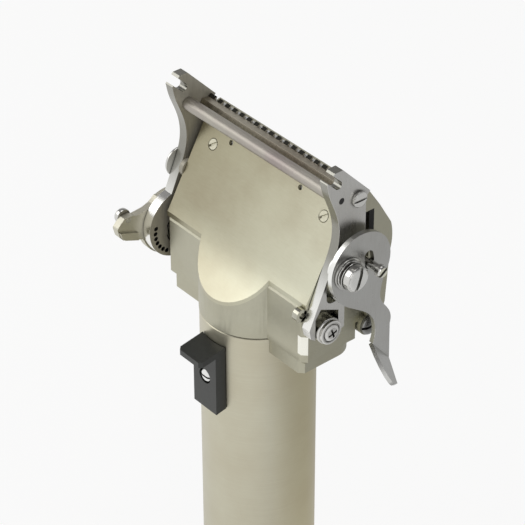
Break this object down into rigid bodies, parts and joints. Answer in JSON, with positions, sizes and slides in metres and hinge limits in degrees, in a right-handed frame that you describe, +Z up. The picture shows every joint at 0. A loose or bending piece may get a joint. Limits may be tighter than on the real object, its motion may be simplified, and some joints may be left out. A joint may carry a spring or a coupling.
{
  "type": "powered dermatome",
  "caption": "Cordless surgical skin-graft knife: round upright handle, leaning head with flat sole, oscillating blade, comb, gauge bar between side plates, thickness lever and clamp lever.",
  "frame": {"origin": "centre of the end cap's flat bottom face", "axes": "+Z up along the handle, -Y towards the flat sole and the trigger, +X towards the clamp lever"},
  "size_m": [0.1112, 0.0607, 0.2211],
  "materials": {
    "tube_metal": "brushed, warm grey",
    "casting_metal": "satin, warm grey",
    "sole_metal": "fine brushed, pale",
    "plate_steel": "satin",
    "lever_steel": "satin",
    "polished_steel": "polished",
    "comb_steel": "satin, warm",
    "screw_steel": "polished",
    "plug_steel": "dull",
    "blade_steel": "ground",
    "carrier_plastic": "moulded",
    "shaft_steel": "ground",
    "bearing_steel": "ground",
    "motor_steel": "zinc plated can",
    "board_laminate": "laminate",
    "battery_sleeve": "shrink sleeve",
    "contact_brass": "plain",
    "seal_rubber": "moulded",
    "trigger_plastic": "moulded, near black"
  },
  "bodies": {
    "housing": {"handle_tube": "tube_metal", "end_cap": "tube_metal", "cap_seal": "seal_rubber", "battery_contact": "contact_brass", "battery_pack": "battery_sleeve", "control_board": "board_laminate", "motor": "motor_steel", "seam_seal": "seal_rubber", "head_casting": "casting_metal", "sole_plate": "sole_metal", "sole_screws": "screw_steel", "lower_bearing": "bearing_steel", "upper_bearing": "bearing_steel", "pivot_screws": "screw_steel", "flat_washers": "screw_steel", "spring_washer": "screw_steel", "pivot_spacer": "plate_steel", "guide_pin": "screw_steel", "side_plugs": "plug_steel"},
    "gauge_frame": {"left_side_plate": "plate_steel", "right_side_plate": "plate_steel", "gauge_bar": "polished_steel", "comb": "comb_steel", "comb_screws": "screw_steel"},
    "thickness_setting": {"thickness_shaft": "screw_steel", "eccentric_cams": "screw_steel", "thickness_lever": "lever_steel", "lever_knob": "screw_steel"},
    "clamp": {"clamp_lever": "lever_steel"},
    "blade_unit": {"blade": "blade_steel", "blade_carrier": "carrier_plastic"},
    "crank": {"drive_shaft": "shaft_steel", "crank_roller": "bearing_steel"},
    "trigger_unit": {"trigger": "trigger_plastic", "trigger_screw": "screw_steel", "trigger_slider": "trigger_plastic"}
  },
  "joints": [
    {"name": "thickness_turn", "type": "hinge", "parent": "housing", "child": "thickness_setting", "pos_m": [0, -0.0045, 0.1574], "axis": [1, 0, 0], "range_deg": [-40, 40]},
    {"name": "gauge_swing", "type": "hinge", "parent": "housing", "child": "gauge_frame", "pos_m": [0, 0.0002, 0.1817], "axis": [1, 0, 0], "range_deg": [-1.3, 1.3]},
    {"name": "clamp_swing", "type": "hinge", "parent": "housing", "child": "clamp", "pos_m": [0, 0.0002, 0.1817], "axis": [1, 0, 0], "range_deg": [-20, 0]},
    {"name": "blade_stroke", "type": "slide", "parent": "housing", "child": "blade_unit", "axis": [1, 0, 0], "range_m": [-0.0016, 0.0016]},
    {"name": "crank_spin", "type": "hinge", "parent": "housing", "child": "crank", "pos_m": [0, 0, 0.142], "axis": [0, 0, 1], "continuous": true},
    {"name": "trigger_slide", "type": "slide", "parent": "housing", "child": "trigger_unit", "axis": [0, 0, 1], "range_m": [-0.005, 0], "stiffness_N_per_m": 200, "springref_m": 0.002}
  ],
  "couplings": [
    {"joint": "gauge_swing", "follows": "thickness_turn", "ratio": 0.0306}
  ]
}
